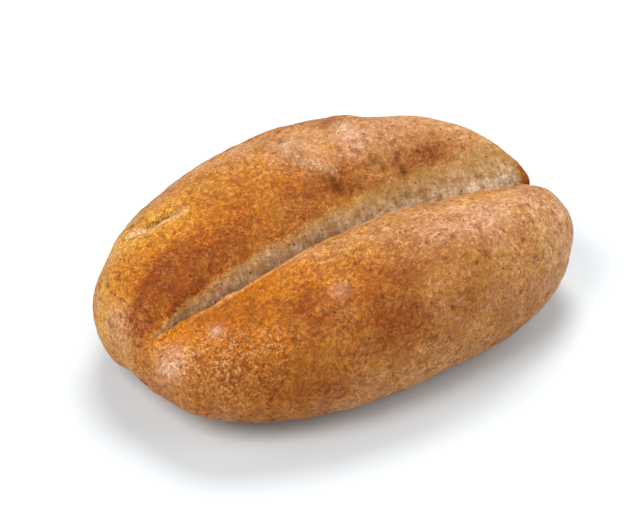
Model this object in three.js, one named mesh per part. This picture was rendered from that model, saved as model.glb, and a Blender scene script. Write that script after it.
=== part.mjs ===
import * as THREE from 'three';
import { mergeVertices } from 'three/addons/utils/BufferGeometryUtils.js';

// A brown, glazed roll with one deep crease along its top. Millimetres, Z up.
// X runs along the roll. The near lobe lies on the -Y side, the far lobe on the +Y side.

// Overall sizes.
const LENGTH = 125;              // tip to tip along the crease
const WIDTH = 92;                // across both lobes at mid length, before they close towards the tips
const HEIGHT = 44;               // crown of the far lobe at mid length
const GIRTH_HEIGHT = 18.3;       // height at which the roll is widest

// The line of the crease, seen from above.
const CREASE_SHIFT = -8;         // it lies off the middle, as the far lobe is wider
const BOW = 0.9;                 // its even bow, sideways
const SWAY = 0.2;                // its sway to either side of mid length
const BULGE = { centre: 3, spread: 28, height: 1.9 };

// The crease: a larger overlap of the two lobes makes a deeper crease.
const MIDDLE_OVERLAP = 0.948;
const TIP_OVERLAP = 0.742;
const LEFT_BRIDGE = 0.3;         // less of it at the left tip, where the skin bridges the crease
const LOBE_AXIS = 0.47;          // distance of a lobe's axis from the crease, in half widths
const LOBE_CORE = 40;            // half length of that axis

// How the outline closes towards the tips. A power of 2 is an ellipse, a larger one is blunter.
const PLAN_POWER = 1.845;
const CROWN_POWER = 1.81;
const BELLY_POWER = 2.6;
const TIP_NOTCH = 0.504;         // how far the lobes reach past the crease at each tip

// The underside: fuller than an ellipse, then pressed flat on the baking sheet.
const UNDERSIDE_POWER = 2.67;
const UNDERSIDE_REACH = 1.17;    // depth before it is pressed flat, in girth heights
const TIP_FULLNESS = 0.406;      // how much of that fullness is left at the tips
const RIM_ROUNDING = 2.4;        // height over which the side turns into the flat base

// Each lobe: its shares of the sizes above, how they change along the roll, and its shift along it.
const NEAR_LOBE = { width: 0.885, taper: -0.036, height: 0.854, tilt: 0.112, shift: 6.85, blunt: 0.03 };
const FAR_LOBE = { width: 1.115, taper: -0.037, height: 1, tilt: 0.233, shift: -5.2, blunt: 0.85 };

// The near lobe is a little fuller left of mid length, and its shoulder sags where the crease runs out there.
const NEAR_HUMP = { centre: -0.25, spread: 0.6, height: 0.061 };
const NEAR_SAG = { centre: -40, spread: 14, depth: 1.95 };

// Swells (positive) and dents (negative) of the hand-shaped crust.
const SWELLS = [
  { x: 14, y: -42, z: 6, radius: 18, height: -1 },
  { x: -28, y: -38, z: 6, radius: 9, height: -0.4 },
  { x: 55, y: -32, z: 12, radius: 8, height: -0.4 },
  { x: 57.5, y: -30, z: 23, radius: 9, height: 0.6 },
  { x: 61.5, y: -5, z: 24.5, radius: 6, height: 1.5 },
  { x: -60.5, y: -2, z: 10, radius: 6, height: -1.8 },
  { x: -53, y: 25, z: 25, radius: 9, height: -0.6 },
  { x: -14, y: 37.5, z: 35, radius: 20, height: -0.8 },
  { x: 29, y: 25, z: 42, radius: 12, height: -0.8 },
  { x: 1, y: 27, z: 43.5, radius: 9, height: -0.4 },
  { x: 20, y: 21.5, z: 44.3, radius: 6, height: 1.9 },
  { x: 6.8, y: 1.8, z: 37.2, radius: 3.2, height: -0.8 },
  { x: 1, y: -27, z: 40, radius: 9, height: 0.4 },
  { x: 40, y: -24, z: 36, radius: 11, height: -0.4 },
];

// Folds (positive) and creased lines (negative) in the skin of the crust, seen from above.
const FOLDS = [
  { from: [-47.2, 22.2], to: [-42, 18.8], width: 2.7, height: -0.9 },
  { from: [-42, 18.8], to: [-33.5, 16.6], width: 2.7, height: -0.9 },
  { from: [-45, 26.5], to: [-33.5, 21.5], width: 3, height: 0.4 },
  { from: [-0.4, 20], to: [0.5, 15.5], width: 2.6, height: 0.8 },
  { from: [0.5, 15.5], to: [8.5, 8.5], width: 2.6, height: 1.1 },
  { from: [-3, 13], to: [5, 5], width: 2.6, height: -0.6 },
  { from: [26.5, 6.5], to: [25.5, 0.2], width: 2.6, height: -0.6 },
];

// Unevenness of the torn walls of the crease.
const TEARING = { height: 0.45, centre: 3.4, spread: 2.4 };

// Mesh of the crust.
const ROWS = 66;                 // around the roll
const STATIONS = 78;             // from tip to tip
const CREASE_BUNCHING = 1.28;    // above 1 gathers the rows towards the crease

function smooth(value, from, to) {
  const share = Math.min(Math.max((value - from) / (to - from), 0), 1);
  return share * share * (3 - 2 * share);
}

function bell(value, centre, spread) {
  return Math.exp(-(((value - centre) / spread) ** 2));
}

/** Radius of two overlapping round lobes in the direction (across, up). */
function lobedRadius(across, up, overlap) {
  const halfWidth = 1 / (1 + overlap);
  const centre = overlap * halfWidth;
  const a = (across / halfWidth) ** 2 + up ** 2;
  const b = (-2 * Math.abs(across) * centre) / halfWidth ** 2;
  const c = overlap ** 2 - 1;
  return (-b + Math.sqrt(Math.max(b * b - 4 * a * c, 0))) / (2 * a);
}

/** Radius of the full, blunt underside in the direction (across, up). */
function undersideRadius(across, up) {
  const sum = Math.abs(across) ** UNDERSIDE_POWER + Math.abs(up) ** UNDERSIDE_POWER;
  return sum ** (-1 / UNDERSIDE_POWER);
}

/** Presses everything under the sheet level flat, with a rounded rim. */
function pressedHeight(z) {
  if (z < -RIM_ROUNDING) {
    return 0;
  }
  return z < RIM_ROUNDING ? (z + RIM_ROUNDING) ** 2 / (4 * RIM_ROUNDING) : z;
}

/** Distance in plan from a point to the line between two others. */
function distanceToLine(x, y, from, to) {
  const dx = to[0] - from[0];
  const dy = to[1] - from[1];
  const share = ((x - from[0]) * dx + (y - from[1]) * dy) / (dx * dx + dy * dy);
  const held = Math.min(Math.max(share, 0), 1);
  return Math.hypot(x - from[0] - held * dx, y - from[1] - held * dy);
}

/** Height of the crust's own unevenness above the plain form. */
function relief(x, y, z, creaseDistance) {
  let height = 0.24 * Math.sin(0.17 * x + 0.6) * Math.cos(0.14 * y + 0.08 * x)
    + 0.13 * Math.sin(0.27 * y - 0.12 * x + 1.9) * Math.cos(0.26 * x + 0.2 * z);
  for (const swell of SWELLS) {
    const distance = Math.hypot(x - swell.x, y - swell.y, z - swell.z);
    height += swell.height * bell(distance, 0, swell.radius);
  }
  if (z > GIRTH_HEIGHT) {
    for (const fold of FOLDS) {
      height += fold.height * bell(distanceToLine(x, y, fold.from, fold.to), 0, fold.width);
    }
  }
  const tearing = TEARING.height * Math.sin(0.62 * x + 1.1 * Math.sin(0.19 * x))
    * (0.6 + 0.4 * Math.sin(0.11 * x + 1)) * bell(creaseDistance, TEARING.centre, TEARING.spread);
  const deepShare = smooth(creaseDistance, 0, 2.5) * smooth(z, 0, 6);
  return (height + tearing) * deepShare;
}

/**
 * One point of the crust. `along` runs from 0 at the left tip to PI at the right tip.
 * `around` is 0 in the crease and PI under the roll, positive on the far lobe.
 */
function crustPoint(along, around) {
  const girth = Math.abs(Math.sin(along));
  const forward = -Math.cos(along);
  const acrossUnit = Math.sin(around);
  const upUnit = Math.cos(around);
  const isNear = acrossUnit < 0;
  const lobe = isNear ? NEAR_LOBE : FAR_LOBE;

  // Section of unit size, square to the roll.
  const overlap = TIP_OVERLAP + (MIDDLE_OVERLAP - TIP_OVERLAP) * smooth(girth, 0.1, 0.85)
    - LEFT_BRIDGE * smooth(-forward, 0.905, 0.965);
  const lobed = lobedRadius(acrossUnit, upUnit, overlap);
  const fullness = TIP_FULLNESS + (1 - TIP_FULLNESS) * smooth(girth, 0.15, 0.8);
  const under = lobed + (undersideRadius(acrossUnit, upUnit) - lobed) * fullness;
  const radius = upUnit < 0 ? under : lobed;
  const across = radius * acrossUnit;
  const up = radius * upUnit;
  const side = Math.abs(across);
  const onCrown = smooth(side, 0, 0.45);

  // Along the roll: the lobes reach past the crease at the tips, and lie askew.
  const reach = TIP_NOTCH * smooth(Math.abs(acrossUnit), 0, 1) * girth ** 2 * bell(girth, 0, 0.7);
  const x = (forward * LENGTH) / 2 * (1 + reach) + lobe.shift * smooth(side, 0, 0.6) * girth;

  // Across the roll.
  const halfWidth = (WIDTH / 2) * (lobe.width + lobe.taper * forward) * girth ** (2 / PLAN_POWER);
  const bow = BOW * (1 - ((2 * x) / LENGTH) ** 2) + SWAY * Math.sin((2 * Math.PI * x) / LENGTH);
  const creaseY = CREASE_SHIFT + bow + BULGE.height * bell(x, BULGE.centre, BULGE.spread);
  const y = across * halfWidth + creaseY;

  // Height over the baking sheet.
  let z = GIRTH_HEIGHT;
  if (upUnit < 0) {
    z += up * GIRTH_HEIGHT * UNDERSIDE_REACH * girth ** (2 / BELLY_POWER);
  } else {
    const power = CROWN_POWER + lobe.blunt * onCrown;
    let crown = 1 + (lobe.height + lobe.tilt * forward - 1) * onCrown;
    let sag = 0;
    if (isNear) {
      crown += NEAR_HUMP.height * bell(forward, NEAR_HUMP.centre, NEAR_HUMP.spread) * smooth(side, 0, 0.3);
      const inner = smooth(side, 0, 0.25) * (1 - smooth(side, 0.55, 0.9)) * smooth(girth, 0, 0.35);
      sag = NEAR_SAG.depth * bell(x, NEAR_SAG.centre, NEAR_SAG.spread) * inner;
    }
    z += up * ((HEIGHT - GIRTH_HEIGHT) * crown * girth ** (2 / power) - sag);
  }
  z = pressedHeight(z);

  // The unevenness stands out from the lobe's own axis.
  const axisX = Math.min(Math.max(x, -LOBE_CORE), LOBE_CORE);
  const axisY = creaseY + Math.sign(acrossUnit) * LOBE_AXIS * halfWidth;
  const outward = new THREE.Vector3(x - axisX, y - axisY, z - GIRTH_HEIGHT).normalize();
  const nearTip = smooth(girth, 0.02, 0.25);
  return new THREE.Vector3(x, y, z)
    .addScaledVector(outward, relief(x, y, z, Math.abs(y - creaseY)) * nearTip);
}

/** The closed crust: a ball whose rows and stations are moved onto the roll's surface. */
function crustGeometry() {
  const ball = new THREE.SphereGeometry(1, ROWS, STATIONS);
  const position = ball.attributes.position;
  const share = ball.attributes.uv;
  for (let i = 0; i < position.count; i += 1) {
    const along = Math.PI * (1 - share.getY(i));
    const turn = 2 * share.getX(i) - 1;
    const around = Math.PI * Math.sign(turn) * Math.min(Math.abs(turn), 1) ** CREASE_BUNCHING;
    const point = crustPoint(along, around);
    position.setXYZ(i, point.x, point.y, point.z);
  }
  ball.deleteAttribute('normal');
  ball.deleteAttribute('uv');
  const crust = mergeVertices(ball, 1e-4);
  crust.computeBoundingBox();
  const box = crust.boundingBox;
  crust.translate(-(box.min.x + box.max.x) / 2, -(box.min.y + box.max.y) / 2, -box.min.z);
  crust.computeVertexNormals();
  return crust;
}

const crustMaterial = new THREE.MeshStandardMaterial({ name: 'crust', color: 0xb97a38, roughness: 0.5 });

const roll = new THREE.Mesh(crustGeometry(), crustMaterial);
roll.name = 'bread_roll';

const group = new THREE.Group();
group.name = 'roll';
group.add(roll);

export default group;
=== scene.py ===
import math

import bpy
import numpy as np
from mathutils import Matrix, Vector, noise


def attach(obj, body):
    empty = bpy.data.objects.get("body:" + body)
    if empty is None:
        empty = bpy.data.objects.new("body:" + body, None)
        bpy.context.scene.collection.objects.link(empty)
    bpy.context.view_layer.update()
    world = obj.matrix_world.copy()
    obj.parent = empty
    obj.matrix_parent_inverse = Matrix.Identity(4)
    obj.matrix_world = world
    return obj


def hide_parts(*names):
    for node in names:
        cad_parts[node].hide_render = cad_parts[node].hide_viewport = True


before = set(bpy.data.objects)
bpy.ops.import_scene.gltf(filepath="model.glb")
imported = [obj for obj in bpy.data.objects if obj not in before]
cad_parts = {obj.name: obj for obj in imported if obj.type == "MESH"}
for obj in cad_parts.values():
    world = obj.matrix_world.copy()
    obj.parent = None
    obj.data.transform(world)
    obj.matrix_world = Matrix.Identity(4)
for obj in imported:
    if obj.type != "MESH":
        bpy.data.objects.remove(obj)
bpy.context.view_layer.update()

# The crust is worked out in millimetres, with the same driving sizes as its solid, and made in metres.
MM = 0.001

# Overall sizes.
LENGTH = 125.0
WIDTH = 92.0
HEIGHT = 44.0
GIRTH_HEIGHT = 18.3

# The line of the crease, seen from above.
CREASE_SHIFT = -8.0
BOW = 0.9
SWAY = 0.2
BULGE = {"centre": 3.0, "spread": 28.0, "height": 1.9}

# The crease, and the axes of the two lobes beside it.
MIDDLE_OVERLAP = 0.948
TIP_OVERLAP = 0.742
LEFT_BRIDGE = 0.3
LOBE_AXIS = 0.47
LOBE_CORE = 40.0

# How the outline closes towards the tips.
PLAN_POWER = 1.845
CROWN_POWER = 1.81
BELLY_POWER = 2.6
TIP_NOTCH = 0.504
NOTCH_SPREAD = 0.7

# The underside.
UNDERSIDE_POWER = 2.67
UNDERSIDE_REACH = 1.17
TIP_FULLNESS = 0.406
RIM_ROUNDING = 2.4

NEAR_LOBE = {"width": 0.885, "taper": -0.036, "height": 0.854, "tilt": 0.112, "shift": 6.85, "blunt": 0.03}
FAR_LOBE = {"width": 1.115, "taper": -0.037, "height": 1.0, "tilt": 0.233, "shift": -5.2, "blunt": 0.85}
NEAR_HUMP = {"centre": -0.25, "spread": 0.6, "height": 0.061}
NEAR_SAG = {"centre": -40.0, "spread": 14.0, "depth": 1.95}

# Where the form eases from one state into the next: from a start to an end. Girth is 0 at a tip and 1 in
# the middle of the roll. Side is 0 in the crease and about 1 at the flank. The bridge over the crease
# follows the way from the middle, 0, to the left tip, 1.
OVERLAP_BY_GIRTH = (0.1, 0.85)
BRIDGE_TOWARDS_LEFT = (0.905, 0.965)
FULLNESS_BY_GIRTH = (0.15, 0.8)
CROWN_BY_SIDE = (0.0, 0.45)
SHIFT_BY_SIDE = (0.0, 0.6)
HUMP_BY_SIDE = (0.0, 0.3)
SAG_BY_SIDE = (0.0, 0.25)
SAG_ENDS_BY_SIDE = (0.55, 0.9)
SAG_BY_GIRTH = (0.0, 0.35)
RELIEF_BY_GIRTH = (0.02, 0.25)
RELIEF_BY_CREASE_DISTANCE = (0.0, 2.5)
RELIEF_BY_HEIGHT = (0.0, 6.0)

# Slow waves over the whole crust: height, then the rates over x and y and the phase of a sine, and the
# rates over x, y and z of the cosine that it is multiplied with.
WAVES = [
    (0.24, (0.17, 0.0, 0.6), (0.08, 0.14, 0.0)),
    (0.13, (-0.12, 0.27, 1.9), (0.26, 0.0, 0.2)),
]

# Swells and dents of the crust: x, y, z, radius, height.
SWELLS = [
    (14, -42, 6, 18, -1.0),
    (-28, -38, 6, 9, -0.4),
    (55, -32, 12, 8, -0.4),
    (57.5, -30, 23, 9, 0.6),
    (61.5, -5, 24.5, 6, 1.5),
    (-60.5, -2, 10, 6, -1.8),
    (-53, 25, 25, 9, -0.6),
    (-14, 37.5, 35, 20, -0.8),
    (29, 25, 42, 12, -0.8),
    (1, 27, 43.5, 9, -0.4),
    (20, 21.5, 44.3, 6, 1.9),
    (6.8, 1.8, 37.2, 3.2, -0.8),
    (1, -27, 40, 9, 0.4),
    (40, -24, 36, 11, -0.4),
]

# Folds and creased lines of the crust: from x, y to x, y, then width and height.
FOLDS = [
    (-47.2, 22.2, -42, 18.8, 2.7, -0.9),
    (-42, 18.8, -33.5, 16.6, 2.7, -0.9),
    (-45, 26.5, -33.5, 21.5, 3.0, 0.4),
    (-0.4, 20, 0.5, 15.5, 2.6, 0.8),
    (0.5, 15.5, 8.5, 8.5, 2.6, 1.1),
    (-3, 13, 5, 5, 2.6, -0.6),
    (26.5, 6.5, 25.5, 0.2, 2.6, -0.6),
]

# Finer creases that only the crust's skin has, in the same form.
FINE_FOLDS = [
    (-46.5, 23.2, -43.8, 20.4, 1.1, 0.4),
    (-42.6, 20.8, -39.7, 19.3, 0.7, -0.5),
    (-39.7, 19.3, -34.5, 17.9, 0.7, -0.5),
    (-42.2, 18.6, -39.6, 17.5, 0.9, 0.35),
    (-39.6, 17.5, -33.0, 16.9, 0.9, 0.35),
    (-1.6, 19.5, -2.0, 14.0, 0.8, -0.4),
    (-2.0, 14.0, 1.6, 10.0, 0.8, -0.5),
    (1.6, 10.0, 6.2, 6.0, 0.8, -0.45),
    (8.2, 7.2, 9.6, 2.6, 0.8, -0.4),
    (12.0, 21.0, 18.0, 17.5, 0.9, -0.4),
    (18.0, 17.5, 25.5, 19.0, 0.9, -0.35),
    (26.6, 6.0, 25.4, 0.4, 0.7, -0.45),
    (21.5, 3.0, 23.5, 0.5, 0.7, -0.3),
]

# Small dark pits of the crust: x, y, z, radius and strength.
PITS = [
    (6.3, 4.1, 38.1, 1.4, 1.0),
    (6.0, 5.6, 39.6, 1.2, 0.7),
    (9.1, 2.1, 36.9, 0.9, 0.9),
    (11.9, 2.1, 37.4, 1.1, 0.8),
    (20.0, 5.7, 40.7, 0.9, 0.8),
    (20.8, 4.0, 39.4, 0.7, 1.0),
    (16.2, -0.1, 35.0, 0.6, 0.8),
    (-6.9, 6.2, 39.9, 0.9, 0.6),
    (-3.4, 4.0, 38.8, 0.9, 0.8),
    (-8.3, 3.1, 37.9, 0.8, 0.7),
    (13.8, -1.6, 33.4, 0.7, 0.7),
    (35.7, 4.2, 39.3, 1.5, 0.6),
    (35.8, 2.4, 37.8, 1.2, 0.6),
    (34.4, -3.6, 30.8, 0.9, 0.9),
    (33.8, -4.5, 29.3, 0.8, 0.9),
    (25.5, -2.9, 31.7, 1.2, 0.8),
    (23.4, -2.6, 32.0, 0.9, 0.8),
    (46.2, -3.7, 30.1, 0.9, 0.6),
    (43.6, -3.6, 30.4, 0.8, 0.6),
    (51.7, -2.8, 31.6, 0.9, 0.8),
    (56.7, -3.8, 30.0, 0.8, 0.8),
    (55.1, -2.7, 31.6, 0.7, 0.8),
    (51.4, -0.7, 34.1, 0.7, 0.8),
    (47.8, -0.2, 34.9, 0.7, 0.7),
    (45.5, -4.7, 28.7, 0.6, 0.8),
    (19.5, 11.1, 43.8, 0.8, 0.6),
    (17.2, 12.5, 44.2, 1.0, 0.4),
    (12.8, -20.8, 41.3, 0.7, 0.6),
    (25.8, -30.3, 39.7, 0.7, 0.9),
    (12.8, -32.8, 39.7, 0.6, 0.7),
    (0.1, -27.6, 41.4, 1.3, 0.6),
    (2.7, -25.1, 41.5, 0.7, 0.6),
    (24.2, -37.4, 35.9, 0.8, 0.8),
    (9.7, -43.4, 28.7, 0.8, 0.8),
    (-7.8, -37.5, 35.7, 0.6, 1.0),
    (3.7, -33.9, 39.5, 0.9, 0.7),
    (10.2, -30.3, 40.7, 0.6, 0.7),
    (20.3, -38.6, 35.4, 0.7, 0.8),
    (12.6, -42.2, 30.5, 1.0, 0.6),
]

# The uneven torn wall of the crease: a swaying wave along it, which grows and shrinks.
TEARING = {"height": 0.45, "centre": 3.4, "spread": 2.4}
TEARING_WAVE = {"rate": 0.62, "sway": 1.1, "sway_rate": 0.19}
TEARING_GROWTH = {"mean": 0.6, "swing": 0.4, "rate": 0.11, "phase": 1.0}

# Random fields over the crust: the size of their features in millimetres, their layers and their seed.
FIELDS = {
    "pocks": (2.1, 2, 11.0),
    "lumps": (7.0, 2, 3.1),
    "wrinkles": (2.6, 3, 8.2),
    "fibres": (0.9, 3, 5.5),
    "tears": (2.2, 2, 1.3),
    "ragged": (3.0, 3, 2.2),
    "frayed": (1.2, 2, 7.7),
    "underside": (9.0, 3, 6.4),
    "mildness": (16.0, 2, 4.1),
}

# How much each layer of a field is weaker and finer than the one before, and which way its seed moves it.
FIELD_FADING = 0.9
FIELD_REFINING = 2.1
SEED_WAY = (1.0, 1.7, -0.6)

# Relief that is too fine for the solid: heights and depths in millimetres.
LUMP_HEIGHT = 0.2
WRINKLE_HEIGHT = 0.13
POCK_DEPTH = 0.24
PIT_DEPTH = 0.45
FIBRE_HEIGHT = 0.2
TEAR_HEIGHT = 0.22

# The shares of their field's values that lie under the rim and under the middle of a pock.
POCK_SHARES = [0.9, 0.985]

# The scale of the fibres' field along x, y and z, which draws them out down the wall.
FIBRE_SCALE = (1.0, 0.35, 0.35)

# Where the fine relief and the tears start and end: by height, and by distance from the crease.
FINE_RELIEF_BY_HEIGHT = (0.4, 5.0)
TEARS_BY_CREASE_DISTANCE = (0.15, 1.2)
TEARS_END_BY_CREASE_DISTANCE = (2.0, 5.5)

# The fine mesh of the crust.
ROWS = 372
STATIONS = 264
CREASE_BUNCHING = 1.34

# The form is drawn in a little, so that the fine relief doesn't stand out of the solid's box.
DRAWN_IN = 0.997

# Keeps a length of zero from being divided by.
LEAST_LENGTH = 1e-9


def smooth(value, start, end):
    """0 before start and 1 after end, with a smooth rise between them."""
    share = np.clip((value - start) / (end - start), 0.0, 1.0)
    return share * share * (3.0 - 2.0 * share)


def bell(value, centre, spread):
    """1 at the centre, falling off smoothly on both sides."""
    return np.exp(-(((value - centre) / spread) ** 2))


def lobed_radius(across, up, overlap):
    """Radius of two overlapping round lobes in the direction (across, up)."""
    half_width = 1.0 / (1.0 + overlap)
    centre = overlap * half_width
    a = (across / half_width) ** 2 + up**2
    b = -2.0 * np.abs(across) * centre / half_width**2
    c = overlap**2 - 1.0
    return (-b + np.sqrt(np.maximum(b * b - 4.0 * a * c, 0.0))) / (2.0 * a)


def underside_radius(across, up):
    """Radius of the full, blunt underside in the direction (across, up)."""
    total = np.abs(across) ** UNDERSIDE_POWER + np.abs(up) ** UNDERSIDE_POWER
    return total ** (-1.0 / UNDERSIDE_POWER)


def pressed_height(z):
    """Everything under the sheet level is flat, with a rounded rim."""
    rim = (z + RIM_ROUNDING) ** 2 / (4.0 * RIM_ROUNDING)
    return np.where(z < -RIM_ROUNDING, 0.0, np.where(z < RIM_ROUNDING, rim, z))


def distance_to_line(x, y, line):
    """Distance in plan from points to the line that a fold follows."""
    from_x, from_y, to_x, to_y = line[:4]
    dx, dy = to_x - from_x, to_y - from_y
    share = ((x - from_x) * dx + (y - from_y) * dy) / (dx * dx + dy * dy)
    held = np.clip(share, 0.0, 1.0)
    return np.hypot(x - from_x - held * dx, y - from_y - held * dy)


def folds_height(x, y, z, folds):
    """Height of the folds on the upper side of the crust."""
    total = np.zeros_like(x)
    for fold in folds:
        width, height = fold[4:]
        total += height * bell(distance_to_line(x, y, fold), 0.0, width)
    return np.where(z > GIRTH_HEIGHT, total, 0.0)


def tearing_height(x, crease_distance):
    """Height of the unevenness of the torn wall."""
    swaying = TEARING_WAVE["sway"] * np.sin(TEARING_WAVE["sway_rate"] * x)
    height = TEARING["height"] * np.sin(TEARING_WAVE["rate"] * x + swaying)
    growth = np.sin(TEARING_GROWTH["rate"] * x + TEARING_GROWTH["phase"])
    height *= TEARING_GROWTH["mean"] + TEARING_GROWTH["swing"] * growth
    return height * bell(crease_distance, TEARING["centre"], TEARING["spread"])


def relief(x, y, z, crease_distance):
    """Height of the crust's own unevenness above the plain form, as its solid has it."""
    height = np.zeros_like(x)
    for rise, (sine_x, sine_y, phase), (cosine_x, cosine_y, cosine_z) in WAVES:
        wave = np.cos(cosine_x * x + cosine_y * y + cosine_z * z)
        height += rise * np.sin(sine_x * x + sine_y * y + phase) * wave
    for at_x, at_y, at_z, radius, rise in SWELLS:
        distance = np.sqrt((x - at_x) ** 2 + (y - at_y) ** 2 + (z - at_z) ** 2)
        height += rise * bell(distance, 0.0, radius)
    height += folds_height(x, y, z, FOLDS)
    height += tearing_height(x, crease_distance)
    clear_of_crease = smooth(crease_distance, *RELIEF_BY_CREASE_DISTANCE)
    return height * clear_of_crease * smooth(z, *RELIEF_BY_HEIGHT)


def crease_line(x):
    """Where the crease lies across the roll, at each place along it."""
    bow = BOW * (1.0 - (2.0 * x / LENGTH) ** 2) + SWAY * np.sin(2.0 * math.pi * x / LENGTH)
    return CREASE_SHIFT + bow + BULGE["height"] * bell(x, BULGE["centre"], BULGE["spread"])


def by_lobe(is_near, name):
    """The size of that name of the lobe that each point lies on."""
    return np.where(is_near, NEAR_LOBE[name], FAR_LOBE[name])


def crust_points(along, around):
    """Points of the crust, in millimetres.

    along runs from 0 at the left tip to pi at the right tip. around is 0 in the crease
    and pi under the roll, positive on the far lobe.
    """
    girth = np.abs(np.sin(along))
    forward = -np.cos(along)
    across_unit, up_unit = np.sin(around), np.cos(around)
    is_near = across_unit < 0

    # Section of unit size, square to the roll.
    overlap = TIP_OVERLAP + (MIDDLE_OVERLAP - TIP_OVERLAP) * smooth(girth, *OVERLAP_BY_GIRTH)
    overlap = overlap - LEFT_BRIDGE * smooth(-forward, *BRIDGE_TOWARDS_LEFT)
    lobed = lobed_radius(across_unit, up_unit, overlap)
    fullness = TIP_FULLNESS + (1.0 - TIP_FULLNESS) * smooth(girth, *FULLNESS_BY_GIRTH)
    under = lobed + (underside_radius(across_unit, up_unit) - lobed) * fullness
    radius = np.where(up_unit < 0, under, lobed)
    across, up = radius * across_unit, radius * up_unit
    side = np.abs(across)
    on_crown = smooth(side, *CROWN_BY_SIDE)

    # Along and across the roll.
    reach = TIP_NOTCH * smooth(np.abs(across_unit), 0.0, 1.0) * girth**2 * bell(girth, 0.0, NOTCH_SPREAD)
    x = forward * LENGTH / 2.0 * (1.0 + reach)
    x += by_lobe(is_near, "shift") * smooth(side, *SHIFT_BY_SIDE) * girth
    half_width = WIDTH / 2.0 * (by_lobe(is_near, "width") + by_lobe(is_near, "taper") * forward)
    half_width = half_width * girth ** (2.0 / PLAN_POWER)
    crease_y = crease_line(x)
    y = across * half_width + crease_y

    # Height over the baking sheet.
    below = GIRTH_HEIGHT + up * GIRTH_HEIGHT * UNDERSIDE_REACH * girth ** (2.0 / BELLY_POWER)
    power = CROWN_POWER + by_lobe(is_near, "blunt") * on_crown
    crown = 1.0 + (by_lobe(is_near, "height") + by_lobe(is_near, "tilt") * forward - 1.0) * on_crown
    hump = NEAR_HUMP["height"] * bell(forward, NEAR_HUMP["centre"], NEAR_HUMP["spread"])
    crown += np.where(is_near, hump * smooth(side, *HUMP_BY_SIDE), 0.0)
    inner = smooth(side, *SAG_BY_SIDE) * (1.0 - smooth(side, *SAG_ENDS_BY_SIDE))
    inner = inner * smooth(girth, *SAG_BY_GIRTH)
    sag = NEAR_SAG["depth"] * bell(x, NEAR_SAG["centre"], NEAR_SAG["spread"]) * inner
    rise = (HEIGHT - GIRTH_HEIGHT) * crown * girth ** (2.0 / power) - np.where(is_near, sag, 0.0)
    z = pressed_height(np.where(up_unit < 0, below, GIRTH_HEIGHT + up * rise))

    # The unevenness stands out from the lobe's own axis.
    axis_y = crease_y + np.sign(across_unit) * LOBE_AXIS * half_width
    out = np.stack([x - np.clip(x, -LOBE_CORE, LOBE_CORE), y - axis_y, z - GIRTH_HEIGHT], -1)
    out /= np.maximum(np.linalg.norm(out, axis=-1, keepdims=True), LEAST_LENGTH)
    height = relief(x, y, z, np.abs(y - crease_y)) * smooth(girth, *RELIEF_BY_GIRTH)
    return np.stack([x, y, z], -1) + out * height[..., None]


def crust_grid():
    """The two angles of every vertex of the fine mesh, tip vertices first and last."""
    turn = np.linspace(-1.0, 1.0, ROWS, endpoint=False)
    around = math.pi * np.sign(turn) * np.abs(turn) ** CREASE_BUNCHING
    along = math.pi * np.arange(1, STATIONS) / STATIONS
    all_along = np.repeat(along, ROWS)
    all_around = np.tile(around, STATIONS - 1)
    return np.concatenate([[0.0], all_along, [math.pi]]), np.concatenate([[0.0], all_around, [0.0]])


def crust_faces():
    """Faces of the fine mesh: triangles at the two tips, and four-sided faces between them."""
    faces = []
    last = 1 + (STATIONS - 1) * ROWS
    for row in range(ROWS):
        after = (row + 1) % ROWS
        faces.append((0, 1 + row, 1 + after))
        for station in range(STATIONS - 2):
            start = 1 + station * ROWS
            faces.append((start + row, start + ROWS + row, start + ROWS + after, start + after))
        start = last - ROWS
        faces.append((start + row, last, start + after))
    return faces


def field(points, name):
    """A smooth random field over points in millimetres, about -1 to 1."""
    size, layers, seed = FIELDS[name]
    offset = Vector([way * seed for way in SEED_WAY])
    places = [Vector(point) / size + offset for point in points]
    return np.array([noise.fractal(place, FIELD_FADING, FIELD_REFINING, layers) for place in places])


def pocks(points):
    """Small round dents of the crust, 1 to 2 mm across: 0 outside them, up to 1 in their middle."""
    values = field(points, "pocks")
    rim, middle = np.quantile(values, POCK_SHARES)
    return smooth(values, rim, middle)


def fine_relief(points, crease_distance):
    """Height in millimetres of the relief that is too fine for the solid."""
    x, y, z = points.T
    skin = LUMP_HEIGHT * field(points, "lumps") + WRINKLE_HEIGHT * field(points, "wrinkles")
    skin -= POCK_DEPTH * pocks(points) + PIT_DEPTH * patches_mask(points, PITS)
    creases = folds_height(x, y, z, FINE_FOLDS)
    fibres = field(points * np.array(FIBRE_SCALE), "fibres")
    torn = FIBRE_HEIGHT * fibres + TEAR_HEIGHT * field(points, "tears")
    torn = torn * (1.0 - smooth(crease_distance, *TEARS_END_BY_CREASE_DISTANCE))
    torn = torn * smooth(crease_distance, *TEARS_BY_CREASE_DISTANCE)
    torn = torn * np.where(z > GIRTH_HEIGHT, 1.0, 0.0)
    return (skin + creases + torn) * smooth(z, *FINE_RELIEF_BY_HEIGHT)


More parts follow.
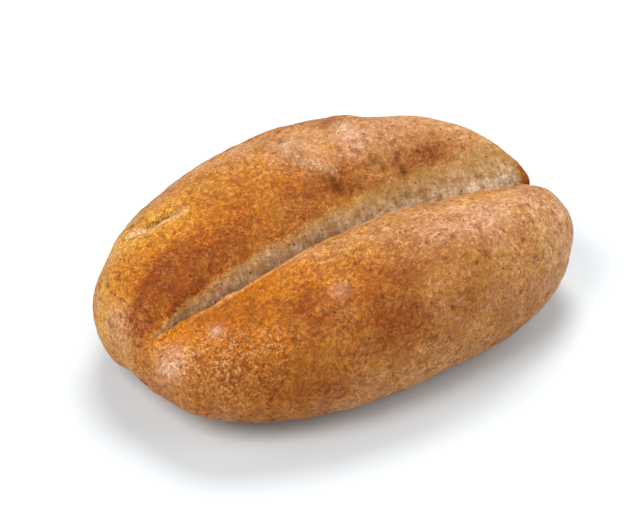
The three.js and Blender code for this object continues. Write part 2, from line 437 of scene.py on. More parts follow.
def make_crust():
    """The roll's crust as one fine closed mesh, which stands for the solid."""
    points = crust_points(*crust_grid())
    low, high = points.min(0), points.max(0)
    points -= np.array([(low[0] + high[0]) / 2.0, (low[1] + high[1]) / 2.0, 0.0])
    crease_distance = np.abs(points[:, 1] - crease_line(points[:, 0]))

    mesh = bpy.data.meshes.new("crust")
    mesh.from_pydata((points * MM).tolist(), [], crust_faces())
    normals = np.empty(len(points) * 3)
    mesh.vertex_normals.foreach_get("vector", normals)
    normals = normals.reshape(-1, 3)
    raised = points + normals * fine_relief(points, crease_distance)[:, None]
    raised[:, 2] = np.maximum(raised[:, 2], 0.0)
    raised[:, :2] *= DRAWN_IN
    mesh.vertices.foreach_set("co", (raised * MM).ravel())
    mesh.shade_smooth()
    mesh.update()

    crust = bpy.data.objects.new("crust", mesh)
    bpy.context.scene.collection.objects.link(crust)
    mask_names = paint(mesh, points, crease_distance)
    mesh.materials.append(crust_material(mask_names))
    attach(crust, "root")
    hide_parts("bread_roll")


# The crust's patches, each with x, y, z, radius and strength, in millimetres. First, where the bake has
# turned the glaze amber.
AMBER_PATCHES = [
    (-53, 4, 32, 7, 0.8),
    (-44, 9, 36, 10, 0.9),
    (-36, 10, 38, 9, 0.9),
    (-62, 10, 22, 9, 0.6),
    (-24, 11, 40, 10, 0.6),
    (-12, 10, 42, 9, 0.4),
    (-1, 8, 41.5, 8, 0.4),
    (8, 6, 40, 7, 0.3),
    (-56, -9, 26, 6, 0.9),
    (-50, -11, 30, 7, 1.0),
    (-42, -14, 33, 8, 1.0),
    (-34, -16, 35, 8, 0.9),
    (-26, -19, 37, 8, 0.5),
    (-40, -24, 33, 10, 0.5),
    (-24, -28, 37, 12, 0.7),
    (-40, -33, 26, 10, 0.5),
    (-12, -31, 38, 9, 0.5),
    (37, 3, 38, 7, 0.5),
    (61, -5, 25, 4.5, 1.0),
    (-20, 40, 30, 18, 0.5),
    (-6, -28.5, 40.8, 6, 0.25),
    (-52, 17, 33, 7, 0.8),
    (36, -41, 24.5, 6, 0.3),
    (-59, -21.5, 19, 6, 0.5),
    (-55, -28, 16, 6, 0.5),
    (-63.8, 7, 20, 7, 0.65),
]

# Where the bake caught and browned the crust, with one patch that paints the shadow below the fold; over
# the torn wall this mask also lays painted shade in the crease.
TOAST_AND_SHADE_PATCHES = [
    (-53, -1, 31.3, 4.8, 1.0),
    (-50, 1, 33, 6, 0.9),
    (-44, 3, 35, 6.5, 0.9),
    (-36, 3, 36, 6.5, 0.55),
    (-28, 4, 37, 7, 0.4),
    (-20, 7, 39.8, 7, 0.3),
    (-9, 6, 40, 8, 0.3),
    (0, 5, 39.8, 6, 0.65),
    # This patch is painted shade below the fold.
    (8, 4.5, 38.8, 5.5, 0.6),
    (20, 5, 40, 6, 0.3),
    (28.6, 1.5, 37, 7, 0.5),
    (34, 3, 38.2, 6, 0.6),
    (41, 3, 38, 5, 0.25),
    (-47, -13.5, 29.8, 4, 0.4),
    (-40, -16, 33, 5, 0.3),
    (15.6, 23.4, 44.2, 4, 0.6),
    (61, -5, 25, 3.5, 0.6),
    (63, -6, 22, 4, 0.8),
    (-58.4, -3.6, 27.6, 3.6, 1.0),
    (-56, -2, 29, 2.6, 0.8),
    (-25, -33, 35.5, 7, 0.7),
    (-15, -36, 34, 7, 0.35),
    (-41, -25, 32, 6, 0.35),
    (-40, -38, 19.5, 10, 0.6),
    (-28, -41, 20, 9, 0.45),
    (-9, -42, 30, 10, 0.5),
    (-48, -28, 26, 7, 0.4),
    (-2, -43, 29, 7, 0.35),
    (25, -40, 32, 6, 0.25),
    (15, 44, 26, 15, 0.5),
    (-24, -30, 36.6, 3.5, 0.8),
    (-29, -32.3, 34.4, 4, 0.6),
    (-54, -28.5, 16, 6, 0.4),
    (-4, -34, 37.5, 10, 0.32),
    (-14, -24.5, 40, 6, 0.4),
    (-42, -14, 32, 8, 0.22),
    (-28, -16, 36, 7, 0.22),
    (12, -1, 34, 5, 0.4),
    (24, -2, 33, 5, 0.4),
    (8, -27, 41, 7, 0.15),
    (-46, -4.5, 30, 3.5, 0.9),
    (-48.5, -6.5, 27, 3, 0.85),
    (-39, -2, 32.5, 4, 0.7),
    (-29, 0, 35, 4, 0.3),
    (-34, -24, 34, 5, 0.45),
    (-26, 17, 41, 6, 0.3),
    (-13.5, 10.7, 41.4, 6, 0.2),
    (40, -33.5, 34, 5, 0.45),
    (28, 10, 43, 5, 0.3),
    (20, -34, 37.5, 10, 0.22),
    (0, -36, 37, 10, 0.12),
    (-58.6, -3, 27, 3, 0.8),
]

# Where the crust stayed pale, and painted highlights where the crust catches the light.
PALE_AND_HIGHLIGHT_PATCHES = [
    (-62.5, 0, 25, 4.5, 0.9),
    (-60.5, 3.5, 28, 3, 0.7),
    (-20, 30, 39, 8, 0.6),
    (-62, -6, 16, 8, 0.4),
    (-59, -18, 23, 4.5, 0.8),
    (-45.9, -19.2, 29.3, 1.8, 0.5),
    (-60, -22, 14, 7, 0.2),
    (-7.5, 29, 41, 9, 0.6),
    (5, 20, 44.7, 8, 0.45),
    (5, 26, 43, 6, 0.4),
    (20, 15, 44.6, 10, 0.45),
    (38, 10, 42, 12, 0.6),
    (50, 3, 36, 9, 0.8),
    (-19, -17, 38.6, 7, 0.5),
    (-11, -19, 40, 7, 0.5),
    (-2, -20, 41, 8, 0.5),
    (12, -20, 42, 9, 0.5),
    (25, -24, 41, 10, 0.7),
    (40, -28, 37, 11, 0.7),
    (54, -30, 26, 11, 1.0),
    (56, -30, 14, 9, 0.6),
    (30, -38, 33, 10, 0.4),
    (-23, -35, 34.5, 3, 0.6),
    (-18, -36, 35.5, 3, 0.3),
    (8, 12, 43.5, 4, 0.3),
    (4, -28, 41.3, 4, 0.5),
    (45, -40, 20, 12, 0.4),
    (34, -42, 24, 9, 0.15),
    (6.4, -42, 31.5, 5, 0.5),
    (22, 2, 39, 5, 0.4),
    (-55, -28, 12, 8, 0.5),
    (-7, -44, 9, 12, 0.5),
    (-22, -43.5, 12, 8, 0.4),
    (10, -44, 9, 12, 0.4),
    (40, 35, 26, 18, 0.4),
    (-63.6, 5, 18.5, 6, 0.5),
    (-26.5, 17.5, 41, 5, 0.25),
]

# Where the glaze has turned golden.
GOLDEN_PATCHES = [
    (-47, 22, 33, 9, 0.9),
    (-51, 24, 29, 8, 0.7),
    (-37, 19, 38.5, 8, 0.7),
    (-26, 22, 40.5, 9, 0.3),
    (-50, 13, 34, 8, 0.1),
    (-61, 13, 24, 8, 0.4),
    (-12, 24, 42, 10, 0.2),
    (-22, -36, 34, 5, 0.35),
    (-14, -27, 39.8, 5, 0.5),
    (19, 5, 40.5, 5, 0.5),
    (29, 6, 41, 5, 0.4),
    (-61, 11, 26, 6, 0.5),
    (4, 7.5, 41, 3, 0.5),
    (-5, -23, 40.9, 5, 0.35),
    (38, -18.5, 37.8, 5, 0.35),
    (32, -18, 38.4, 5, 0.4),
    (-63.5, 7, 20, 7, 0.8),
    (8, -1, 36, 5, 0.4),
    (28, -1, 34.5, 5, 0.5),
    (-14, 8, 40.5, 4, 0.4),
    (2, 3, 38.5, 4, 0.5),
    (27, -39, 33.5, 5, 0.35),
    (20, -36, 37.7, 5, 0.35),
    (42, -34.5, 32.5, 6, 0.35),
]

# Pale lines of torn skin, partly painted highlights on the ridges of folds, and the dark ones beside them,
# partly painted shade in the folds' grooves: from x, y to x, y, then width and strength.
PALE_AND_HIGHLIGHT_LINES = [
    (-46.3, 22.9, -43.6, 20.2, 0.9, 1.2),
    (-42.2, 18.6, -39.6, 17.5, 0.9, 0.6),
    (-39.6, 17.5, -36.5, 16.9, 0.9, 0.55),
    (-35.2, 17.2, -33.0, 17.0, 0.9, 0.7),
    (1.3, 21.9, -1.5, 16.5, 0.8, 0.6),
    (-0.9, 14.1, 2.7, 10.9, 0.9, 0.55),
    (2.7, 10.9, 7.0, 7.1, 0.9, 0.55),
    (15.0, 17.7, 17.9, 18.2, 1.2, 0.4),
    (17.9, 18.2, 20.2, 18.4, 0.9, 0.25),
    (15.0, 12.0, 18.1, 10.5, 0.6, 0.3),
    (13.7, 10.0, 15.9, 9.0, 0.6, 0.3),
]
DARK_AND_SHADE_LINES = [
    (-42.6, 20.8, -39.7, 19.3, 0.6, 0.9),
    (-39.7, 19.3, -37.4, 18.5, 0.6, 1.0),
    (-37.4, 18.5, -34.5, 17.9, 0.6, 0.8),
    (-44.6, 25.4, -42.7, 24.0, 0.6, 0.6),
    (18.4, 7.2, 18.5, 5.4, 0.6, 0.9),
    (26.1, 5.8, 25.3, 4.6, 0.7, 1.0),
    (25.6, 3.1, 25.8, 1.9, 0.7, 1.0),
    (25.8, 1.9, 25.4, 0.8, 0.8, 1.0),
    (18.7, 0.9, 19.1, -0.5, 0.7, 0.7),
    (38.7, 0.4, 39.3, -1.1, 0.6, 0.9),
    (32.6, 0.5, 31.8, -0.7, 0.5, 0.8),
    (40.2, -2.2, 40.2, -3.7, 0.6, 0.9),
    (14.6, 10.8, 17.0, 9.7, 0.5, 0.6),
]

# Painted sheen: pinkish highlights painted where the glaze catches the light.
SHEEN_PATCHES = [
    (17, 13, 44, 5, 0.9),
    (30, 10, 43, 8, 0.45),
    (21, -29, 40.6, 6, 0.5),
    (31, -29, 39.2, 6, 0.5),
    (27, -25, 40.5, 6, 0.3),
    (13, -27, 41, 5, 0.4),
    (46, -24, 37, 6, 0.4),
    (-16.6, -31.4, 37.7, 2.5, 0.5),
    (-62.5, 0, 25, 4, 0.6),
    (-58.5, -18, 23.5, 4, 0.7),
    (-45.9, -19.2, 29.3, 1.8, 0.7),
    (3.5, 11, 43, 4, 0.5),
]

# Where the skin is curled into fine grains.
GRAINY_PATCHES = [
    (-56, -21, 24, 6, 0.9),
    (-51, -21, 27, 6, 1.0),
    (-46, -27, 28, 7, 0.9),
    (-42, -31, 29, 7, 0.6),
    (-50, -34, 20, 9, 0.5),
    (-34, -34, 31, 9, 0.4),
    (-62.5, 5, 23, 6.5, 0.7),
    (-62, -1, 23, 6, 1.0),
    (-46, 4, 34, 8, 0.3),
]

# Where the glaze lies thickest and shines.
GLAZE_PATCHES = [
    (-58.5, -17, 23.5, 4.5, 0.9),
    (-45.9, -19.2, 29.3, 2.2, 0.8),
    (-62.5, 4, 24, 5, 0.4),
    (-3, 19, 44, 6, 0.5),
    (4, 20, 44.7, 6, 0.7),
    (17, 19, 44.7, 5, 0.6),
    (-16.6, -31.4, 37.7, 3, 0.5),
    (11, -29, 41, 6, 0.2),
    (35, -26, 39, 7, 0.35),
]

# The masks that are made of patches alone, and the ones that are made of lines.
PATCH_MASKS = {
    "amber": AMBER_PATCHES,
    "toast_and_shade": TOAST_AND_SHADE_PATCHES,
    "pale_and_highlight": PALE_AND_HIGHLIGHT_PATCHES,
    "golden": GOLDEN_PATCHES,
    "rosy_and_sheen": SHEEN_PATCHES,
    "grainy": GRAINY_PATCHES,
    "glaze": GLAZE_PATCHES,
    "pit": PITS,
}
LINE_MASKS = {"pale_line_and_highlight": PALE_AND_HIGHLIGHT_LINES, "dark_line_and_shade": DARK_AND_SHADE_LINES}

# How far the torn skin reaches from the crease, in millimetres. On the far wall, each step changes the
# reach by its first number, between the places along the roll that follow.
FAR_REACH_STEPS = [(3.3, -67.0, -33.0), (0.8, -38.0, -28.0), (2.9, -15.0, 45.0), (-1.4, 52.0, 63.0)]
NEAR_REACH = 1.3
RAGGED_REACH = 0.45
TORN_STARTS = (-58.8, -55.8)
FAR_TORN_ENDS = (57.8, 59.6)
FAR_END_RAGGED = 0.5
TOP_SIDE_DROP = 2.0

# How softly the torn skin ends, at the left and with what is added towards the right.
TORN_SOFTNESS = 0.7
ADDED_SOFTNESS = 1.5
SOFTENING = (-12.0, 30.0)

# The inner part of the torn wall, as a share of its reach.
INNER_SHARE = 0.46
INNER_RAGGED = 0.8
INNER_SOFTNESS = 0.9

# The floury underside, and where the bake grows milder along the roll.
UNDERSIDE_FADES = (0.0, 7.0)
UNDERSIDE_RAGGED = 2.0
MILD_GROWS = (-18.0, 30.0)
MILD_RAGGED = 8.0

# The painted highlight line on the near lobe's rim: its distance from the crease, and where it starts and
# moves out.
RIM_LINE = {"distance": 4.0, "added": 3.4, "spread": 0.9}
RIM_MOVES_OUT = (-46.0, -18.0)
RIM_STARTS = (-50.0, -38.0)


def patches_mask(points, spots):
    """How strongly the patches cover each point, from 0 to 1."""
    total = np.zeros(len(points))
    for at_x, at_y, at_z, radius, strength in spots:
        distance = np.linalg.norm(points - np.array([at_x, at_y, at_z]), axis=1)
        total += strength * bell(distance, 0.0, radius)
    return np.clip(total, 0.0, 1.0)


def lines_mask(points, lines):
    """How strongly the lines cover each point of the upper side, from 0 to 1."""
    x, y, z = points.T
    total = np.zeros(len(points))
    for line in lines:
        width, strength = line[4:]
        total += strength * bell(distance_to_line(x, y, line), 0.0, width)
    return np.where(z > GIRTH_HEIGHT, np.clip(total, 0.0, 1.0), 0.0)


def crease_masks(points, crease_distance):
    """The masks of the crease: its torn walls, their inner part, and the painted highlight along the near
    lobe's rim.
    """
    x, y, z = points.T
    far = y > crease_line(x)
    top_side = np.where(z > GIRTH_HEIGHT - TOP_SIDE_DROP, 1.0, 0.0)
    ragged = RAGGED_REACH * field(points, "ragged") + RAGGED_REACH * field(points, "frayed")
    far_reach = sum(change * smooth(x, start, end) for change, start, end in FAR_REACH_STEPS)
    reach = np.where(far, far_reach, NEAR_REACH) + ragged

    softness = TORN_SOFTNESS + ADDED_SOFTNESS * smooth(x, *SOFTENING)
    torn = (1.0 - smooth(crease_distance - reach, -softness, softness)) * top_side
    far_end = 1.0 - smooth(x + FAR_END_RAGGED * ragged, *FAR_TORN_ENDS)
    torn *= smooth(x, *TORN_STARTS) * np.where(far, far_end, 1.0)
    inner_distance = crease_distance - INNER_SHARE * reach + INNER_RAGGED * ragged
    inner = torn * (1.0 - smooth(inner_distance, -INNER_SOFTNESS, INNER_SOFTNESS))

    # A painted highlight along the near lobe's rim, where its crest turns from view.
    rim_distance = RIM_LINE["distance"] + RIM_LINE["added"] * smooth(x, *RIM_MOVES_OUT)
    rim = bell(crease_distance, rim_distance, RIM_LINE["spread"]) * np.where(far, 0.0, 1.0)
    rim = rim * top_side * smooth(x, *RIM_STARTS)
    return {"torn": torn, "inner": inner, "rim": rim}


def paint(mesh, points, crease_distance):
    """Stores the masks that the crust's material reads, and gives their names."""
    x, _, z = points.T
    masks = crease_masks(points, crease_distance)
    masks.update({name: patches_mask(points, spots) for name, spots in PATCH_MASKS.items()})
    masks.update({name: lines_mask(points, lines) for name, lines in LINE_MASKS.items()})
    masks["pock"] = pocks(points) * (1.0 - masks["torn"])
    masks["mild"] = smooth(x + MILD_RAGGED * field(points, "mildness"), *MILD_GROWS)
    masks["under"] = 1.0 - smooth(z + UNDERSIDE_RAGGED * field(points, "underside"), *UNDERSIDE_FADES)
    for name, values in masks.items():
        attribute = mesh.attributes.new(name, "FLOAT", "POINT")
        attribute.data.foreach_set("value", values.astype(np.float32))
    return list(masks)


# The colours of the crust, as they show on screen.
COLOURS = {
    # Partly the crust's own pale colour, partly painted highlight.
    "pale_and_highlight": "d5a471",
    "amber": "c87604",
    "golden": "d49a38",
    "yellow": "c48c3c",
    # A pinkish tone at random, and painted pinkish sheen where the sheen patches lie.
    "rosy_and_sheen": "d8a583",
    "browned": "883e00",
    "mottle": "84410a",
    "spots": "8f4410",
    "pock": "7a380a",
    "pit": "6c3210",
    # Painted highlight along the near lobe's rim.
    "rim": "dcae74",
    # Pale torn skin, partly painted highlight on fold ridges; dark marks, partly painted shade in fold
    # grooves.
    "pale_line_and_highlight": "e2bd94",
    "dark_line_and_shade": "6a3a0c",
    "wall_cloud": "a3733f",
    # Darker wall colour where the bake caught, partly painted shade in the crease.
    "wall_toast_and_shade": "7d5226",
    "wall_border": "bd904a",
    "underside": "b88a5a",
    # Painted glints along the curls.
    "curl_glints": "e8b67e",
    "bran": "5e2c0c",
}

# The darker and the lighter colour of what is clouded or fibrous.
TONES = {
    "strong_bake": ("9d5612", "bd7c2c"),
    "gentle_bake": ("a06024", "bd8142"),
    "grey_edge": ("a4805a", "c4a27c"),
    "beige_edge": ("b48c5c", "d6b284"),
    "grey_wall": ("92745a", "b89a7c"),
    "white_wall": ("c4a684", "e2cdb2"),
}

# Noises of the material: the size of their features in millimetres, detail, roughness and distortion.
NOISES = {
    "clouds": (11.0, 4.0, 0.6, 0.0),
    "uneven": (6.0, 4.0, 0.65, 0.0),
    "yellow": (4.6, 3.0, 0.6, 0.3),
    "rosy_and_sheen": (3.2, 4.0, 0.65, 0.0),
    "browned": (5.0, 4.0, 0.65, 0.0),
    "mottle": (2.8, 5.0, 0.7, 0.0),
    "spots": (1.7, 3.0, 0.6, 0.0),
    "broken": (1.2, 3.0, 0.6, 0.0),
    "fibre": (1.4, 4.0, 0.7, 0.0),
    "wall_cloud": (3.0, 4.0, 0.65, 0.0),
    "grain": (1.05, 4.0, 0.75, 0.0),
    "curl_glints": (1.7, 2.0, 0.6, 0.6),
    "graining": (8.0, 3.0, 0.6, 0.0),
    "lumps": (1.5, 3.0, 0.6, 0.0),
    "patchy": (5.0, 3.0, 0.65, 0.0),
}

# Smooth ramps of the material: from and to which value of what they read, and what they give there.
RAMPS = {
    "clouds": (0.3, 0.7, 0.0, 1.0),
    "pale_and_highlight": (0.3, 0.62, 0.25, 1.0),
    "amber": (0.7, 0.3, 0.55, 1.0),
    "golden": (0.25, 0.6, 0.5, 1.0),
    "yellow": (0.5, 0.68, 0.0, 0.5),
    "yellow_off_amber": (0.0, 1.0, 1.0, 0.3),
    "rosy_and_sheen": (0.54, 0.7, 0.0, 0.45),
    "rosy_off_bake": (0.0, 0.8, 1.0, 0.1),
    "sheen_patches": (0.3, 0.55, 0.4, 0.9),
    "browned": (0.25, 0.6, 0.45, 1.0),
    "mottle": (0.5, 0.66, 0.0, 0.75),
    "mottle_by_toast": (0.0, 1.0, 0.55, 1.0),
    "spots": (0.6, 0.72, 0.0, 0.65),
    "rim": (0.3, 0.6, 0.25, 0.6),
    "broken": (0.4, 0.6, 0.0, 1.0),
    "pale_line_and_highlight": (0.0, 1.0, 0.6, 1.0),
    "dark_line_and_shade": (0.0, 1.0, 0.8, 1.0),
    "fibre": (0.35, 0.65, 0.0, 1.0),
    "mild_wall": (0.2, 1.0, 0.0, 1.0),
    "wall_cloud": (0.45, 0.62, 0.0, 0.65),
    "wrinkle": (0.0, 0.2, 0.4, 1.0),
    "grain": (0.38, 0.6, 0.0, 1.0),
    "curl_glints": (0.05, 0.0, 0.0, 1.0),
    "curls_by_grainy": (0.0, 1.0, 0.12, 0.75),
    "graining": (0.3, 0.65, 0.55, 1.0),
    "graining_off_mild": (0.0, 1.0, 1.0, 0.8),
    "graining_off_torn": (0.0, 1.0, 1.0, 0.5),
    "fleck_size": (0.0, 1.0, 0.04, 0.26),
    "fleck_edge": (-0.04, 0.12, 0.0, 0.8),
    "patchy": (0.35, 0.65, 0.32, 0.6),
    "shine": (0.0, 1.0, 0.0, 0.2),
    "gloss": (0.0, 1.0, 0.15, 1.0),
}

# How much of a colour is laid on where its mask is full.
POCK_SHARE = 0.6
PIT_SHARE = 0.95
WALL_TOAST_AND_SHADE_SHARE = 0.6
WALL_BORDER_SHARE = 2.0
UNDERSIDE_SHARE = 0.6

# Patterns, in features per metre. The swirl bends the other two, by up to its reach in metres.
SWIRL_SCALE = 600.0
SWIRL_DETAIL = 3.0
SWIRL_REACH = 0.0012
WRINKLE_SCALE = 1300.0
FLECK_SCALE = 560.0

# The share of the cells that hold no bran fleck.
FLECKLESS_SHARE = 0.6

# The scale of the fibres' noise along x, y and z, which draws them out down the wall.
FIBRE_DRAWING = (1.0, 0.45, 0.45)

# The darker, reddish lines between the grains, partly painted shade, and the painted highlights on the
# grains' tops, as shares of the colour.
GRAIN_DARK = (0.6, 0.5, 0.4, 1.0)
GRAIN_HIGHLIGHT = (1.5, 1.52, 1.62, 1.0)

# The skin's fine relief and its dull torn parts.
BUMP_STRENGTH = 0.7
BUMP_DISTANCE = 0.0002
BUMP_LUMPS = 1.6
BUMP_WRINKLES = 0.5
TORN_DULLNESS = 0.4


def rgb(code):
    """A colour as it shows on screen, such as "c58a48", as linear light."""
    shown = [int(code[i : i + 2], 16) / 255.0 for i in (0, 2, 4)]
    return [c / 12.92 if c <= 0.04045 else ((c + 0.055) / 1.055) ** 2.4 for c in shown] + [1.0]


class Shader:
    """Adds nodes to a material and links what each one takes in."""

    def __init__(self, name):
        self.material = bpy.data.materials.new(name)
        self.material.use_nodes = True
        self.tree = self.material.node_tree
        self.tree.nodes.clear()

    def add(self, kind, inputs=None, **settings):
        """A new node, with each input linked to a socket or set to a value."""
        node = self.tree.nodes.new("ShaderNode" + kind)
        for name, value in settings.items():
            setattr(node, name, value)
        for name, value in (inputs or {}).items():
            if isinstance(value, bpy.types.NodeSocket):
                self.tree.links.new(value, node.inputs[name])
            else:
                node.inputs[name].default_value = value
        return node

    def noise(self, place, name):
        """The noise of that name in NOISES, 0 to 1."""
        size_mm, detail, roughness, distortion = NOISES[name]
        inputs = {
            "Vector": place,
            "Scale": 1.0 / (size_mm * MM),
            "Detail": detail,
            "Roughness": roughness,
            "Distortion": distortion,
        }
        return self.add("TexNoise", inputs).outputs[0]

    def attribute(self, name):
        """A mask that is stored on the mesh."""
        return self.add("Attribute", attribute_name=name).outputs["Fac"]

    def ramp(self, value, name):
        """The value through the ramp of that name in RAMPS."""
        start, end, low, high = RAMPS[name]
        inputs = {"Value": value, "From Min": start, "From Max": end, "To Min": low, "To Max": high}
        return self.add("MapRange", inputs, interpolation_type="SMOOTHSTEP").outputs[0]

    def math(self, operation, a, b=0.0, c=0.0):
        """The result of a math node."""
        return self.add("Math", {0: a, 1: b, 2: c}, operation=operation).outputs[0]

    def times(self, a, b):
        """The product of two values."""
        return self.math("MULTIPLY", a, b)

    def mix(self, factor, a, b, blend="MIX"):
        """From colour a towards colour b, by the factor."""
        inputs = {0: factor, 6: a, 7: b}
        return self.add("Mix", inputs, data_type="RGBA", blend_type=blend).outputs[2]

    def tone(self, share, name):
        """Between the two colours of that name in TONES."""
        darker, lighter = TONES[name]
        return self.mix(share, rgb(darker), rgb(lighter))

    def lay(self, colour, name, share):
        """Lays the colour of that name in COLOURS over another one."""
        return self.mix(share, colour, rgb(COLOURS[name]))


def baked_colour(shader, place, masks, uneven):
    """The even bake, with soft clouds, milder towards the right end, and the tints of the glaze on it,
    partly painted highlights and painted pinkish sheen.
    """
    clouds = shader.ramp(shader.noise(place, "clouds"), "clouds")
    strong = shader.tone(clouds, "strong_bake")
    gentle = shader.tone(clouds, "gentle_bake")
    colour = shader.mix(masks["mild"], strong, gentle)
    # The pale layer is partly the crust's own paler colour and partly painted highlight.
    for name in ("pale_and_highlight", "amber", "golden"):
        colour = shader.lay(colour, name, shader.times(masks[name], shader.ramp(uneven, name)))

    yellow = shader.ramp(shader.noise(place, "yellow"), "yellow")
    yellow = shader.times(yellow, shader.ramp(masks["amber"], "yellow_off_amber"))
    colour = shader.lay(colour, "yellow", yellow)

    # A pinkish tone at random, and painted pinkish sheen, a painted highlight, where the patches lie.
    baked = shader.math("ADD", masks["amber"], masks["toast_and_shade"])
    rosy_and_sheen = shader.ramp(shader.noise(place, "rosy_and_sheen"), "rosy_and_sheen")
    rosy_and_sheen = shader.times(rosy_and_sheen, shader.ramp(baked, "rosy_off_bake"))
    sheen_patches = shader.times(masks["rosy_and_sheen"], shader.ramp(uneven, "sheen_patches"))
    return shader.lay(colour, "rosy_and_sheen", shader.math("MAXIMUM", rosy_and_sheen, sheen_patches))


def browned_colour(shader, place, masks, colour):
    """Darker mottling, a few millimetres across, stronger where the bake caught and where the toast
    patches paint shade, with pocks and pits.
    """
    browned = shader.ramp(shader.noise(place, "browned"), "browned")
    colour = shader.lay(colour, "browned", shader.times(masks["toast_and_shade"], browned))
    mottle = shader.ramp(shader.noise(place, "mottle"), "mottle")
    mottle = shader.times(mottle, shader.ramp(masks["toast_and_shade"], "mottle_by_toast"))
    colour = shader.lay(colour, "mottle", mottle)
    spots = shader.ramp(shader.noise(place, "spots"), "spots")
    colour = shader.lay(colour, "spots", spots)
    colour = shader.lay(colour, "pock", shader.times(masks["pock"], POCK_SHARE))
    return shader.lay(colour, "pit", shader.times(masks["pit"], PIT_SHARE))


def lined_colour(shader, masks, uneven, broken, colour):
    """The painted highlight along the near lobe's rim, and the pale and dark lines of torn skin, which are
    partly painted highlights on fold ridges and painted shade in fold grooves.
    """
    colour = shader.lay(colour, "rim", shader.times(masks["rim"], shader.ramp(uneven, "rim")))
    for name in LINE_MASKS:
        colour = shader.lay(colour, name, shader.times(masks[name], shader.ramp(broken, name)))
    return colour


def torn_colour(shader, place, masks, colour):
    """The pale torn walls of the crease, and the floury underside."""
    drawn_out = shader.add("Mapping", {"Vector": place, "Scale": FIBRE_DRAWING}).outputs[0]
    fibre = shader.ramp(shader.noise(drawn_out, "fibre"), "fibre")
    mild = shader.ramp(masks["mild"], "mild_wall")
    outer = shader.mix(mild, shader.tone(fibre, "grey_edge"), shader.tone(fibre, "beige_edge"))
    inner = shader.mix(mild, shader.tone(fibre, "grey_wall"), shader.tone(fibre, "white_wall"))
    wall = shader.mix(masks["inner"], outer, inner)
    clouds = shader.ramp(shader.noise(place, "wall_cloud"), "wall_cloud")
    wall = shader.lay(wall, "wall_cloud", clouds)
    # Darkens the wall where the toast patches reach it, partly painted shade in the crease.
    wall = shader.lay(wall, "wall_toast_and_shade", shader.times(masks["toast_and_shade"], WALL_TOAST_AND_SHADE_SHARE))

    torn = masks["torn"]
    colour = shader.mix(torn, colour, wall)
    border = shader.times(torn, shader.math("SUBTRACT", 1.0, torn))
    colour = shader.lay(colour, "wall_border", shader.times(border, WALL_BORDER_SHARE))
    return shader.lay(colour, "underside", shader.times(masks["under"], UNDERSIDE_SHARE))


def bent_place(shader, place):
    """The place, pushed about by up to a millimetre, which gives grains and flecks uneven shapes."""
    inputs = {"Vector": place, "Scale": SWIRL_SCALE, "Detail": SWIRL_DETAIL}
    swirl = shader.add("TexNoise", inputs).outputs["Color"]
    swirl = shader.add("VectorMath", {0: swirl, "Scale": SWIRL_REACH}, operation="SCALE").outputs[0]
    return shader.add("VectorMath", {0: place, 1: swirl}, operation="ADD").outputs[0]


def grained_colour(shader, place, masks, broken, wrinkle, grain, colour):
    """Fine grains with dark, reddish lines between them, partly painted shade, and painted highlights on
    their tops, weaker where the bake is mild, and painted glints along curls.
    """
    dark = shader.mix(1.0, colour, GRAIN_DARK, "MULTIPLY")
    light = shader.mix(1.0, colour, GRAIN_HIGHLIGHT, "MULTIPLY")
    grained = shader.mix(shader.times(wrinkle, grain), dark, light)

    # Painted glints along curls, which follow the lines on which a noise crosses its middle.
    middle = 0.5
    off_middle = shader.math("ABSOLUTE", shader.math("SUBTRACT", shader.noise(place, "curl_glints"), middle))
    curled = shader.times(shader.ramp(masks["grainy"], "curls_by_grainy"), broken)
    grained = shader.lay(grained, "curl_glints", shader.times(shader.ramp(off_middle, "curl_glints"), curled))

    off_mild = shader.ramp(masks["mild"], "graining_off_mild")
    calm = shader.times(off_mild, shader.ramp(masks["torn"], "graining_off_torn"))
    strength = shader.times(shader.ramp(shader.noise(place, "graining"), "graining"), calm)
    return shader.mix(shader.math("MAXIMUM", strength, masks["grainy"]), colour, grained)


def flecked_colour(shader, bent, colour):
    """Bran flecks of uneven shape: some of the cells hold one each."""
    cells = shader.add("TexVoronoi", {"Vector": bent, "Scale": FLECK_SCALE})
    chosen = shader.add("SeparateColor", {0: cells.outputs["Color"]})
    held = shader.math("GREATER_THAN", chosen.outputs[0], FLECKLESS_SHARE)
    size = shader.ramp(chosen.outputs[1], "fleck_size")
    inside = shader.ramp(shader.math("SUBTRACT", size, cells.outputs["Distance"]), "fleck_edge")
    return shader.lay(colour, "bran", shader.times(held, inside))


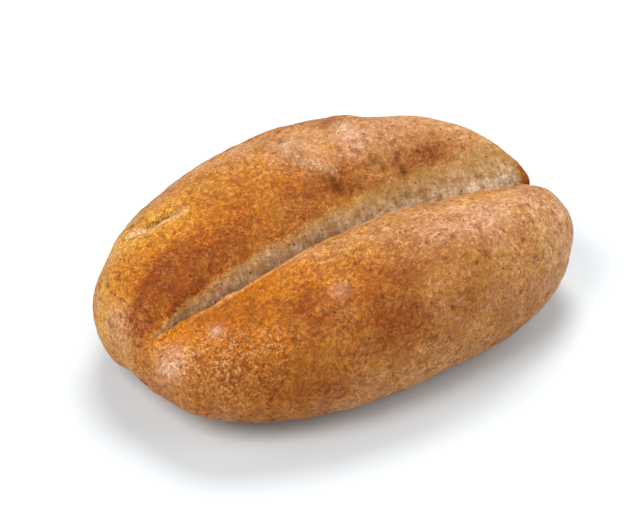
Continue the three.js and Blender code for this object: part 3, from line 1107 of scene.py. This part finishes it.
def crust_material(mask_names):
    """The glazed crust, with its colours, its fine skin and its patchy shine."""
    shader = Shader("glazed_crust")
    place = shader.add("TexCoord").outputs["Object"]
    masks = {name: shader.attribute(name) for name in mask_names}
    uneven = shader.noise(place, "uneven")
    broken = shader.ramp(shader.noise(place, "broken"), "broken")
    bent = bent_place(shader, place)
    inputs = {"Vector": bent, "Scale": WRINKLE_SCALE}
    edges = shader.add("TexVoronoi", inputs, feature="DISTANCE_TO_EDGE").outputs[0]
    wrinkle = shader.ramp(edges, "wrinkle")
    grain = shader.ramp(shader.noise(bent, "grain"), "grain")

    colour = baked_colour(shader, place, masks, uneven)
    colour = browned_colour(shader, place, masks, colour)
    colour = lined_colour(shader, masks, uneven, broken, colour)
    colour = torn_colour(shader, place, masks, colour)
    colour = grained_colour(shader, place, masks, broken, wrinkle, grain, colour)
    colour = flecked_colour(shader, bent, colour)

    ridges = shader.math("MULTIPLY_ADD", wrinkle, BUMP_WRINKLES, grain)
    height = shader.math("MULTIPLY_ADD", shader.noise(bent, "lumps"), BUMP_LUMPS, ridges)
    bump = shader.add("Bump", {"Strength": BUMP_STRENGTH, "Distance": BUMP_DISTANCE, "Height": height})
    patchy = shader.ramp(shader.noise(place, "patchy"), "patchy")
    dull = shader.math("ADD", patchy, shader.times(masks["torn"], TORN_DULLNESS))

    inputs = {
        "Base Color": colour,
        "Roughness": shader.math("SUBTRACT", dull, shader.ramp(masks["glaze"], "shine")),
        "Normal": bump.outputs[0],
        "Specular IOR Level": shader.ramp(masks["glaze"], "gloss"),
    }
    surface = shader.add("BsdfPrincipled", inputs)
    shader.add("OutputMaterial", {"Surface": surface.outputs[0]})
    return shader.material


# The white surface that the roll lies on: half its side in metres, its colour and its roughness.
FLOOR_REACH = 3.0
FLOOR_COLOUR = (0.695, 0.735, 0.76, 1.0)
FLOOR_ROUGHNESS = 0.9


def floor_material():
    """Plain, nearly white and dull."""
    shader = Shader("white_floor")
    surface = shader.add("BsdfPrincipled", {"Base Color": FLOOR_COLOUR, "Roughness": FLOOR_ROUGHNESS})
    shader.add("OutputMaterial", {"Surface": surface.outputs[0]})
    return shader.material


def make_floor():
    """The surface that the roll lies on, which isn't part of it."""
    mesh = bpy.data.meshes.new("floor")
    corners = [(x * FLOOR_REACH, y * FLOOR_REACH, 0) for x, y in ((-1, -1), (1, -1), (1, 1), (-1, 1))]
    mesh.from_pydata(corners, [], [(0, 1, 2, 3)])
    mesh.materials.append(floor_material())
    floor = bpy.data.objects.new("floor", mesh)
    bpy.context.scene.collection.objects.link(floor)


# The camera looks at the roll from the photograph's angle. Distances are in metres, the lens and the
# sensor in millimetres. The aim is moved off the centre, to the right and up in the picture.
VIEW_AZIMUTH = math.radians(-33.9)
VIEW_ELEVATION = math.radians(38.0)
VIEW_DISTANCE = 0.7
VIEW_CENTRE = (-0.0002, -0.008, 0.024)
AIM_RIGHT = -0.00604
AIM_UP = 0.00197
LENS = 151.2
SENSOR_WIDTH = 36.0
NEAREST_SEEN = 0.01
FARTHEST_SEEN = 20.0


def view_axes(azimuth, elevation):
    """Unit vectors towards the camera, to its right and up its picture."""
    flat = math.cos(elevation)
    back = Vector((math.sin(azimuth) * flat, -math.cos(azimuth) * flat, math.sin(elevation)))
    right = Vector((math.cos(azimuth), math.sin(azimuth), 0.0))
    return back, right, back.cross(right)


def make_camera():
    """The camera, aimed so that the roll lies in its picture as in the photograph."""
    back, right, up = view_axes(VIEW_AZIMUTH, VIEW_ELEVATION)
    centre = Vector(VIEW_CENTRE)
    place = centre + back * VIEW_DISTANCE
    aim = centre + right * AIM_RIGHT + up * AIM_UP
    data = bpy.data.cameras.new("camera")
    data.lens = LENS
    data.sensor_width = SENSOR_WIDTH
    data.clip_start = NEAREST_SEEN
    data.clip_end = FARTHEST_SEEN
    camera = bpy.data.objects.new("camera", data)
    camera.location = place
    camera.rotation_euler = (aim - place).to_track_quat("-Z", "Y").to_euler()
    bpy.context.scene.collection.objects.link(camera)
    bpy.context.scene.camera = camera


# Soft boxes: azimuth and elevation in degrees, distance and size in metres, power in watts.
LIGHTS = {
    "key": (142.0, 60.0, 1.1, 0.62, 8.9),
    "back_right": (98.0, 32.0, 1.1, 0.75, 3.7),
    "right": (41.1, 40.0, 1.1, 0.75, 3.4),
    "front": (-28.9, 32.0, 1.1, 0.75, 3.4),
    "front_left": (-75.9, 52.0, 1.1, 0.6, 7.1),
    "left": (-123.9, 32.0, 1.1, 0.75, 3.2),
}
AMBIENT_COLOUR = (1.0, 1.0, 1.0, 1.0)
AMBIENT_STRENGTH = 0.03


def make_lights():
    """The soft boxes around the roll, and a faint even light from everywhere."""
    for name, (azimuth, elevation, distance, size, power) in LIGHTS.items():
        back, _, _ = view_axes(math.radians(azimuth), math.radians(elevation))
        data = bpy.data.lights.new(name, "AREA")
        data.shape = "DISK"
        data.size = size
        data.energy = power
        light = bpy.data.objects.new(name, data)
        light.location = back * distance
        light.rotation_euler = (-back).to_track_quat("-Z", "Y").to_euler()
        bpy.context.scene.collection.objects.link(light)
    world = bpy.data.worlds.new("studio")
    world.use_nodes = True
    background = world.node_tree.nodes["Background"]
    background.inputs["Color"].default_value = AMBIENT_COLOUR
    background.inputs["Strength"].default_value = AMBIENT_STRENGTH
    bpy.context.scene.world = world


bpy.context.scene.view_settings.view_transform = "Standard"
bpy.context.scene.view_settings.look = "None"
make_camera()
make_lights()
make_floor()
make_crust()
